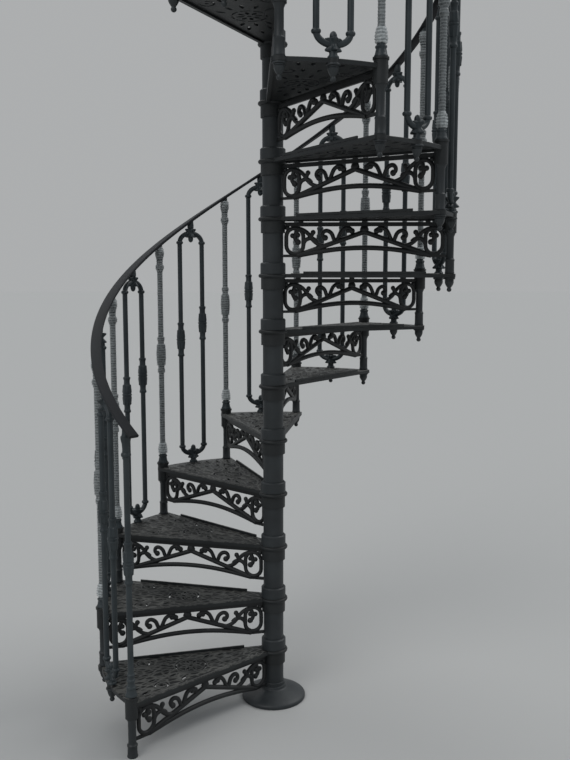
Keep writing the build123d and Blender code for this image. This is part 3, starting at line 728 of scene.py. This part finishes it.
def lone_piece(name, form, paint, crease=35.0):
    """A piece that isn't repeated, in its paint."""
    piece = to_piece(name, form, crease)
    piece.data.materials.append(paint)
    return piece


corner_posts = up_the_flight("post_set", post(shoe_rows, rise), column_paint, step=2)
belongs(corner_posts, "cast_iron", "corner_posts")
first_form = placed(post(floor_shoe_rows, first_level), at_step(1))
first_post = lone_piece("post_on_the_floor", first_form, column_paint)
belongs(first_post, "cast_iron", "floor_post")

# %% The acorn nuts
edge_height = 14.0
nut_rows = [
    (-53, 1.0), (-52.3, 4.2), (-49.5, 7.4), (-46, 8.9), (-42.5, 8.9), (-39.5, 7.2), (-37.5, 6.6),
    (-35, 8.6, 0.6), (-30, 12.0, 1.2), (-24, 15.2, 1.6), (-18, 16.8, 1.4), (-14, 17.0, 0.6),
    (-12.6, 15.2), (-11.4, 15.2), (-10.8, 17.6), (-8.2, 17.6), (-7.6, 15.8), (-6.6, 15.8), (-6, 20.4),
    (-4.6, 21.4), (-1.6, 21.4), (0, 20.4)]
nut_form = lathe(raised(nut_rows, -edge_height))
eye_x, eye_y = turned(post_circle, 0, -step_angle)
corner_nuts = up_the_flight("acorns_at_corners", placed(nut_form, beside(eye_x, eye_y)), column_paint)
belongs(corner_nuts, "cast_iron", "corner_nuts")
loop_nuts = up_the_flight("acorns_at_loops", placed(nut_form, beside(boss_x, boss_y)), column_paint)
belongs(loop_nuts, "cast_iron", "loop_nuts")

# %% [markdown]
# ## Round bars over the flat scrollwork
# The riser panels are flat cut-outs in the CAD model. The cast ones have rounded bars that swell over
# each other, with beads where the curls end. Every curl is a chain of arcs, each running on from the
# end of the one before in the same direction, so a start, a heading and a few points are all that has
# to be written. The bars follow the same middle lines as the CAD panel and cover its flat edges.

# %% Arcs that run on from one another
def strand(start, heading, *points, steps=6):
    """Points along a chain of arcs that pass through these points of a panel."""
    line = [start]
    way = atan2(heading[1], heading[0])
    for end in points:
        at = line[-1]
        bend = atan2(end[1] - at[1], end[0] - at[0]) - way
        bend = atan2(sin(bend), cos(bend))
        chord = hypot(end[0] - at[0], end[1] - at[1])
        for k in range(1, steps + 1):
            share = bend * k / steps
            reach = chord * sin(share) / sin(bend) if abs(bend) > 0.001 else chord * k / steps
            line.append((at[0] + reach * cos(way + share), at[1] + reach * sin(way + share)))
        way += 2 * bend
    return line


panel_middle = 341.5
panel_half = 295.7
peak_level = -54.0
foot_level = -142.0
foot_start = 249.7
oval_x, oval_level = panel_half - 36.5, -88.0
knot = (panel_half - 97, -74)
volute_eye = (panel_half - 150, -76)
fan_eye = (46, -51)
leaf_eye = (oval_x - 12, oval_level - 4)


def on_peak(x):
    """A point on the peaked chord."""
    return x, peak_level + (foot_level - peak_level) * x / foot_start


oval_line = (arc((oval_x, oval_level + 16), 32, 0, pi, 10)
             + arc((oval_x, oval_level - 16), 32, pi, pi, 10))
curls = [
    strand((oval_x, -40), (-1, 0), knot, on_peak(panel_half - 148)),
    strand((oval_x - 32, -104), (0, 1), (knot[0] + 5, knot[1] - 4), (knot[0] - 22, knot[1] - 17)),
    strand(knot, (-1, 3), (knot[0] - 7, knot[1] + 17)),
    strand(on_peak(panel_half - 188), (1, 2), (panel_half - 178, -68), (panel_half - 158, -50),
           (panel_half - 140, -65), volute_eye),
    strand(on_peak(panel_half - 194), (-1, 3), (panel_half - 208, -56), (62, -40), fan_eye),
    strand((panel_half - 48, -43), (1, -2), (panel_half - 38, -66), leaf_eye)]
chords = [[(0, peak_level), (foot_start, foot_level)],
          strand((0, -113), (1, 0), (foot_start / 2, -121), (foot_start, foot_level), steps=8)]
buds = [(knot[0] - 8, knot[1] + 18), (panel_half - 28, -68), (panel_half - 48, -66), (60, -49),
        (panel_half - 8, -39)]
print("curls", len(curls), "with", sum(len(line) for line in curls), "points")

# %% Round bars and beads, then thirteen panels
curl_bar = 7.9
chord_bar = 9.2
bead_depth, bud_radius, eye_radius = 8.0, 9.8, 11.6
eyes = [volute_eye, fan_eye, leaf_eye]
bars = [*[(line, curl_bar, False) for line in curls], *[(line, chord_bar, False) for line in chords],
        (oval_line, curl_bar, True)]
beads = [*[(x, z, bud_radius) for x, z in buds], *[(x, z, eye_radius) for x, z in eyes]]


def bead(x, z, radius, depth):
    """A flat bead across the panel."""
    half = [(0.4 * depth, 0.92 * radius), (0.8 * depth, 0.6 * radius), (depth, 0.5)]
    place = Matrix.Translation((x * MM, 0, z * MM)) @ Matrix.Rotation(pi / 2, 4, "X")
    return placed(lathe([*mirrored(half), (0, radius), *half], sides=10), place)


panel_parts = []
for side in (-1, 1):
    for line, radius, closed in bars:
        path = [(panel_middle + side * x, 0, z) for x, z in line]
        panel_parts.append(swept(path, round_section(radius, 8), (0, 1, 0), closed))
    for x, z, radius in beads:
        panel_parts.append(bead(panel_middle + side * x, z, radius, bead_depth))
panel_parts.append(bead(panel_middle, peak_level + 8, radius=17.0, depth=9.4))
riser_scrolls = up_the_flight(
    "riser_scrolls", joined(*panel_parts), riser_paint, count=landing_number, crease=60.0)
belongs(riser_scrolls, "cast_iron")

# %% [markdown]
# ## The foot of the column
# The round foot is a low dome with a soft thick edge and a roll where the column stands on it. It is
# turned like everything else here, and stands for the plainer CAD foot of the same width.

# %% Turn the foot
foot_rows = [
    (0, 123.0), (2, 125.0), (9, 125.0), (13, 123.5), (17, 119.0), (23, 108.0), (30, 90.0), (36, 70.0),
    (40, 55.0), (42, 50.0), (45, 48.0), (49, 48.0), (52, 46.0), (53, 43.4), (66, 43.0), (68, 41.5)]
column_foot = lone_piece("column_foot", lathe(foot_rows, sides=72), column_paint)
print("the foot is", foot_rows[-1][0], "mm high with its collar")
belongs(column_foot, "cast_iron", "base_plate")

# %% [markdown]
# ## The guard on the landing
# Along the far edge of the landing stand the same turned balusters under a short level bar. The
# camera does not see them, so they are finished from the flight's own forms, with an untilted top.
# The bar is level and straight, so it needs no tree: the sweep from above takes a section like the
# handrail's.

# %% Guard balusters and guard rail
far_bearing = -2 * step_angle
guard_pitch = 155.0
guard_count = 4
guard_forms = []
for k in range(guard_count):
    guard_x, guard_y = turned(post_circle - k * guard_pitch, 0, far_bearing)
    guard_forms.append(placed(single_baluster(0.0), beside(guard_x, guard_y)))
guard_form = placed(joined(*guard_forms), at_step(landing_number))
guard_balusters = lone_piece("guard_baluster_set", guard_form, baluster_paint)
belongs(guard_balusters, "cast_iron", "guard_balusters")

half = rail_width / 2
near_column = 39.3
right_side = [(half - 4, 0), (half - 1.2, 1.2), (half, 4), (half, 9), (half - 1.4, 11.4),
              (half - 4, 12.6), (half / 2, 13.6)]
bar_section = [*[(-x, y) for x, y in right_side], (0, rail_height), *right_side[::-1]]
guard_line = [(*turned(reach, 0, far_bearing), rail_underside)
              for reach in (near_column, post_circle + half)]
guard_bar = placed(swept(guard_line, bar_section, (0, 0, 1)), at_step(landing_number))
guard_rail = lone_piece("guard_bar", guard_bar, rail_paint)
belongs(guard_rail, "rail_iron", "guard_rail")

# %% [markdown]
# ## The relief on the treads
# The treads are pierced like lace, and the bars that are left carry raised half-round ribs: rings
# round the rosette, an outline round each leaf, and a row of studs along the nosing. The holes are in
# the CAD model. The ribs are swept along the edges of those holes, from the same rule that cut them,
# and are sunk a little into the plate. One set of ribs on the first tread then climbs the flight by
# the tree.

# %% Ribs in the pattern of the piercing
plate_radius = post_circle + 10.0
nosing = 22.0
rim_width = 13.0
ring_radius = 57.0
ring_slot = 7.0
leaf_length = 42.0
leaf_width = 15.0
leaf_margin = 18.0
rib_width = 2.7
rib_height = 2.6
rib_section = [
    (-rib_width, -0.5), (-rib_width, 0.3), (-rib_width * 0.55, rib_height * 0.85), (0, rib_height),
    (rib_width * 0.55, rib_height * 0.85), (rib_width, 0.3), (rib_width, -0.5)]


def rib(line, closed=True):
    """A half-round rib on the plate along a line of the plan."""
    return swept([(x, y, 0) for x, y in line], rib_section, (0, 0, 1), closed)


def ring(radius, steps=40, centre=(0, 0)):
    """A closed circle of the plan."""
    return arc(centre, radius, 0, 2 * pi, steps)[:-1]


def lens(length, width, steps=6):
    """The outline of a leaf-shaped hole along X, a little outside it."""
    reach, bulge = length / 2 + 2.2, width / 2 + 1.6
    upper = [(-reach + 2 * reach * k / steps, bulge * sin(pi * k / steps)) for k in range(steps)]
    return upper + [(-x, -y) for x, y in upper]


def carried(line, shift, angle):
    """A line of the plan moved out along X and then turned."""
    return [turned(x + shift, y, angle) for x, y in line]


def fan_spread(reach, way):
    """Half the angle a fan of leaves may fill at this reach from the rosette's middle."""
    room = rosette_place * sin(step_angle / 2) - leaf_margin + nosing - rim_width
    return asin(room / reach) + way * step_angle / 2


print("rosette at", round(rosette_place, 1))

# %% The ribs of the rosette and the outer fans
petals, petal_length, petal_width, petal_reach = 8, 29.0, 13.0, 30.0
heart_radius = 10.5
beside_slot = 2.0
ring_reach = ring_radius + ring_slot / 2
rosette_ribs = [ring(ring_radius - ring_slot / 2 - beside_slot), ring(ring_reach + beside_slot),
                ring(heart_radius, 16)]
for k in range(petals):
    petal = lens(petal_length, petal_width, 5)
    rosette_ribs.append(carried(petal, petal_reach, 2 * pi * k / petals))
leaf = lens(leaf_length, leaf_width)
outer_fans = (5, 3, 7)
outer_room = plate_radius - rim_width - rosette_place - ring_reach
outer_reaches = [ring_reach + (k + 0.5) * outer_room / len(outer_fans) for k in range(len(outer_fans))]
scroll_radius = 23.0
scroll_rib = 5.6
scroll_reach = outer_reaches[1]
scroll_spread = fan_spread(scroll_reach + scroll_radius, 1) - scroll_radius / scroll_reach / 2
for row, (reach, leaves) in enumerate(zip(outer_reaches, outer_fans)):
    spread = scroll_spread / 2 if row == 1 else fan_spread(reach + leaf_length / 2, 1)
    for k in range(leaves):
        rosette_ribs.append(carried(leaf, reach, spread * (2 * k / (leaves - 1) - 1)))
for side in (-1, 1):
    for radius in (scroll_radius - scroll_rib, scroll_radius + scroll_rib):
        rosette_ribs.append(carried(ring(radius, 24), scroll_reach, side * scroll_spread))
print(len(rosette_ribs), "ribs with the outer fans")

# %% The ribs of the fans between the rosette and the column
inner_fans = (3, 2, 1)
inner_pitch = 46.0
first_inner = 0.8 * leaf_length
for row, leaves in enumerate(inner_fans):
    reach = ring_reach + first_inner + row * inner_pitch
    spread = max(fan_spread(reach + leaf_length / 2, -1), 0)
    for k in range(leaves):
        angle = pi + spread * (2 * k - leaves + 1) / max(leaves - 1, 1)
        rosette_ribs.append(carried(leaf, reach, angle))
print(len(rosette_ribs), "ribs on a step")

# %% A tree for the row of studs along the nosing
studs_tree, studs_nodes, studs_given = new_tree(
    "row_of_studs", Stud="Geometry", Count="Int", Start="Float", Pitch="Float", Offset="Float",
    Paint="Material")
stud_number = studs_nodes.add("GeometryNodeInputIndex")
stud_place = studs_nodes.add("ShaderNodeCombineXYZ", {
    "X": studs_given["Start"] + stud_number * studs_given["Pitch"], "Y": studs_given["Offset"]})
stud_points = studs_nodes.add("GeometryNodePoints", {
    "Count": studs_given["Count"], "Position": stud_place})
stud_copies = studs_nodes.add("GeometryNodeInstanceOnPoints", {
    "Points": stud_points, "Instance": studs_given["Stud"]})
close_tree(studs_nodes, stud_copies, studs_given["Paint"])
print("studs tree has", len(studs_tree.nodes), "nodes")

# %% A row of studs as a form
stud_count, stud_start, stud_pitch = 47, 88.0, 11.8
stud_line = nosing - 4.5
stud_row = to_piece("stud_row", lathe([(-0.5, 2.6), (0.6, 2.6), (1.5, 1.9), (2.0, 0.8)], sides=8))
grow(stud_row, studs_tree, Count=stud_count, Start=stud_start * MM, Pitch=stud_pitch * MM,
     Offset=stud_line * MM, Paint=relief_highlight_and_dust_paint)
stud_form = ([vertex.co / MM for vertex in stud_row.data.vertices],
             [tuple(face.vertices) for face in stud_row.data.polygons])
bpy.data.objects.remove(stud_row)

# %% Ribs, rim and studs up the flight
rosette_form = placed(joined(*[rib(line) for line in rosette_ribs]), beside(rosette_place))
pattern_form = placed(rosette_form, Matrix.Rotation(mid_bearing, 4, "Z"))
rim_start, rim_end = 82.0, 634.0
rim_line = [(reach, nosing - 9) for reach in (rim_start, rim_end)]
step_relief = joined(pattern_form, rib(rim_line, closed=False), stud_form)
tread_relief = up_the_flight("tread_relief", step_relief, relief_highlight_and_dust_paint, crease=50.0)
belongs(tread_relief, "cast_iron")

# %% The same relief on the two halves of the landing
second_half = placed(pattern_form, Matrix.Rotation(-step_angle, 4, "Z"))
landing_form = placed(joined(step_relief, second_half), at_step(landing_number))
landing_relief = lone_piece("landing_relief", landing_form, relief_highlight_and_dust_paint, crease=50.0)
print("relief on the landing has", len(landing_relief.data.polygons), "faces")
belongs(landing_relief, "cast_iron")

# %% [markdown]
# ## The wrapping film
# The stair is new, and thin clear film is still wound round the corner balusters, from the foot up to
# the rail. It clings in close level ridges, about one each centimetre, and looks grey and milky over
# the black iron. A skin a little wider than the baluster follows its profile. A Geometry Nodes tree
# pushes the skin in and out along its normals: a wave up the height gives the ridges, and noise bends
# them.

# %% A tree that crinkles a skin
def level_ridges(nodes, place, waves):
    """Level bands up the height, bent a little by noise, as the second output of a Wave texture."""
    sockets = {"Vector": place, "Scale": waves, "Distortion": 2.5, "Detail": 2.0, "Detail Scale": 1.5}
    return nodes.add("ShaderNodeTexWave", sockets, output=1, wave_type="BANDS", bands_direction="Z")


crinkle, crinkle_nodes, crinkle_given = new_tree(
    "crinkle", Skin="Geometry", Ridge="Float", Waves="Float", Depth="Float", Scale="Float",
    Seed="Float", Paint="Material")
skin_place = crinkle_nodes.add("GeometryNodeInputPosition")
ridges = level_ridges(crinkle_nodes, skin_place, crinkle_given["Waves"])
folds = crinkle_nodes.add("ShaderNodeTexNoise", {
    "Vector": skin_place, "W": crinkle_given["Seed"], "Scale": crinkle_given["Scale"],
    "Detail": 3.0, "Roughness": 0.62}, noise_dimensions="4D")
outwards = (folds - 0.45) * crinkle_given["Depth"] + (ridges - 0.4) * crinkle_given["Ridge"]
push = crinkle_nodes.add("ShaderNodeVectorMath", {
    0: crinkle_nodes.add("GeometryNodeInputNormal"), "Scale": outwards}, operation="SCALE")
creased = crinkle_nodes.add("GeometryNodeSetPosition", {
    "Geometry": crinkle_given["Skin"], "Offset": push})
close_tree(crinkle_nodes, creased, crinkle_given["Paint"])
print("crinkle tree has", len(crinkle.nodes), "nodes")

# %% The look of the film
ridge_waves = 31.0
flat_grey = (0.34, 0.365, 0.37)
ridge_grey = (0.54, 0.57, 0.57)


def film_material(name, milk, least_alpha, crease_alpha):
    """Thin milky film: partly see-through, glossy, whiter and denser along its ridges."""
    material = bpy.data.materials.new(name)
    nodes = cleared(material)
    place = nodes.add("ShaderNodeTexCoord", output="Object")
    ridges = level_ridges(nodes, place, ridge_waves)
    folds = noise(nodes, place, 90.0, detail=5.0, roughness=0.65)
    fine = noise(nodes, place, 420.0, detail=2.0)
    crease = folds.within(0.36, 0.68) * 0.5 + ridges.within(0.35, 0.95) * 0.5
    greys = [[part * milk for part in grey] for grey in (flat_grey, ridge_grey)]
    bump = nodes.add("ShaderNodeBump", {
        "Strength": 0.7, "Distance": 0.8 * MM, "Height": folds + 0.4 * fine})
    shader = nodes.add("ShaderNodeBsdfPrincipled", {
        "Base Color": nodes.blend(crease, *greys), "Normal": bump, "Roughness": 0.25 + 0.25 * fine,
        "Alpha": least_alpha + crease_alpha * crease, "Specular IOR Level": 0.5})
    nodes.add("ShaderNodeOutputMaterial", {"Surface": shader})
    return material


film = film_material("clear_film", milk=0.86, least_alpha=0.42, crease_alpha=0.24)
bunched_film = film_material("bunched_film", milk=1.35, least_alpha=0.46, crease_alpha=0.44)
print("film materials", film.name, bunched_film.name)

# %% Sleeves over the corner balusters
def radius_near(height, reach=5.0):
    """The widest radius of a baluster near this height."""
    near = [row[1] for row in baluster_rows if abs(row[0] - height) < reach]
    return max([baluster_tube, *near])


def over_balusters(name, form):
    """A film form over every corner baluster but the first, which has none."""
    form = placed(form, beside(post_circle))
    forms = [placed(form, at_step(number)) for number in range(2, landing_number + 1)]
    return to_piece(name, joined(*forms), crease=60.0)


wrap_low = 104.0
wrap_high = 938.0
row_pitch = 2.5
skin_gap = 1.1
wrap_count = round((wrap_high - wrap_low) / row_pitch)
sleeve_rows = []
for k in range(wrap_count + 1):
    height = wrap_low + (wrap_high - wrap_low) * k / wrap_count
    sleeve_rows.append((height, radius_near(height) + skin_gap))
film_wraps = over_balusters("film_wraps", lathe(sleeve_rows, sides=12))
grow(film_wraps, crinkle, Ridge=1.3 * MM, Waves=ridge_waves, Depth=2.2 * MM, Scale=70.0, Seed=3.0,
     Paint=film)
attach(film_wraps, "root")

# %% Bunched ends of the film
cuff_rows = [
    (0, 13.0), (1.5, 17.5, 2.5), (5, 20.5, 3.5), (9, 18.6, 2.6), (13, 21.2, 3.6), (17, 18.8, 2.8),
    (22, 20.8, 3.4), (27, 18.0, 2.6), (32, 19.6, 3.0), (37, 16.4, 2.4), (42, 17.2, 2.2), (47, 13.6, 1.0),
    (50, 12.0)]
cuff_base = 60.0
high_cuff_base = 932.0
shorter, narrower = 0.45, 0.95
high_rows = [(row[0] * shorter, row[1] * narrower, *row[2:]) for row in cuff_rows]
low_cuff = lathe(raised(cuff_rows, cuff_base), sides=28, lobes=9)
high_cuff = lathe(raised(high_rows, high_cuff_base), sides=22, lobes=7)
cuffs = over_balusters("film_cuffs", joined(low_cuff, high_cuff))
grow(cuffs, crinkle, Ridge=1.5 * MM, Waves=ridge_waves, Depth=6.0 * MM, Scale=140.0, Seed=8.0,
     Paint=bunched_film)
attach(cuffs, "root")

# %% [markdown]
# ## The studio
# The model is shown on a plain pale floor under soft light. The floor is a large sheet, which isn't
# part of the stair. The world is pale to camera and see-through rays and
# partly so to glossy ones, so that the background is light while the object is lit at a plain level.

# %% The floor
far = 90
corners = [(-far, -far, 0), (far, -far, 0), (far, far, 0), (-far, far, 0)]
floor_mesh = bpy.data.meshes.new("floor")
floor_mesh.from_pydata(corners, [], [(0, 1, 2, 3)])
floor = added("floor", floor_mesh)
floor_paint = bpy.data.materials.new("pale_floor")
floor_nodes = cleared(floor_paint)
floor_shader = floor_nodes.add("ShaderNodeBsdfPrincipled", {
    "Base Color": (0.50, 0.50, 0.49, 1), "Roughness": 0.9, "Specular IOR Level": 0.1})
floor_nodes.add("ShaderNodeOutputMaterial", {"Surface": floor_shader})
floor_mesh.materials.append(floor_paint)
print("floor reaches", far, "m each way")

# %% The world
world = bpy.data.worlds.new("studio")
world_nodes = cleared(world)
seen = world_nodes.add("ShaderNodeLightPath", output="Is Camera Ray")
glossy = world_nodes.add("ShaderNodeLightPath", output="Is Glossy Ray")
through = world_nodes.add("ShaderNodeLightPath", output="Is Transmission Ray")
backdrop_share = (seen + through + 0.35 * glossy).within(0.0, 1.0)
dim = world_nodes.add("ShaderNodeBackground", {"Color": (0.86, 0.93, 1.0, 1), "Strength": 0.34})
pale = world_nodes.add("ShaderNodeBackground", {"Color": (0.416, 0.425, 0.430, 1), "Strength": 1.0})
sky = world_nodes.add("ShaderNodeMixShader", {0: backdrop_share, 1: dim, 2: pale})
world_nodes.add("ShaderNodeOutputWorld", {"Surface": sky})
bpy.context.scene.world = world
print("world", world.name, "has", len(world.node_tree.nodes), "nodes")

# %% Three soft suns
def soft_sun(name, bearing, height, power, spread=40.0):
    """A wide sun that shines from this bearing and height, in degrees."""
    sun_data = bpy.data.lights.new(name, "SUN")
    sun_data.energy = power
    sun_data.angle = radians(spread)
    level_part = cos(radians(height))
    towards = Vector((cos(radians(bearing)) * level_part,
                      sin(radians(bearing)) * level_part, sin(radians(height))))
    added(name, sun_data).rotation_euler = (-towards).to_track_quat("-Z", "Y").to_euler()


soft_sun("sun_from_right", bearing=20.0, height=48.0, power=0.95)
soft_sun("sun_from_left", bearing=-130.0, height=42.0, power=0.75)
soft_sun("sun_from_behind", bearing=115.0, height=55.0, power=0.5)
bpy.context.scene.view_settings.view_transform = "Standard"
print("lamps", [light.name for light in bpy.data.lights])

# %% [markdown]
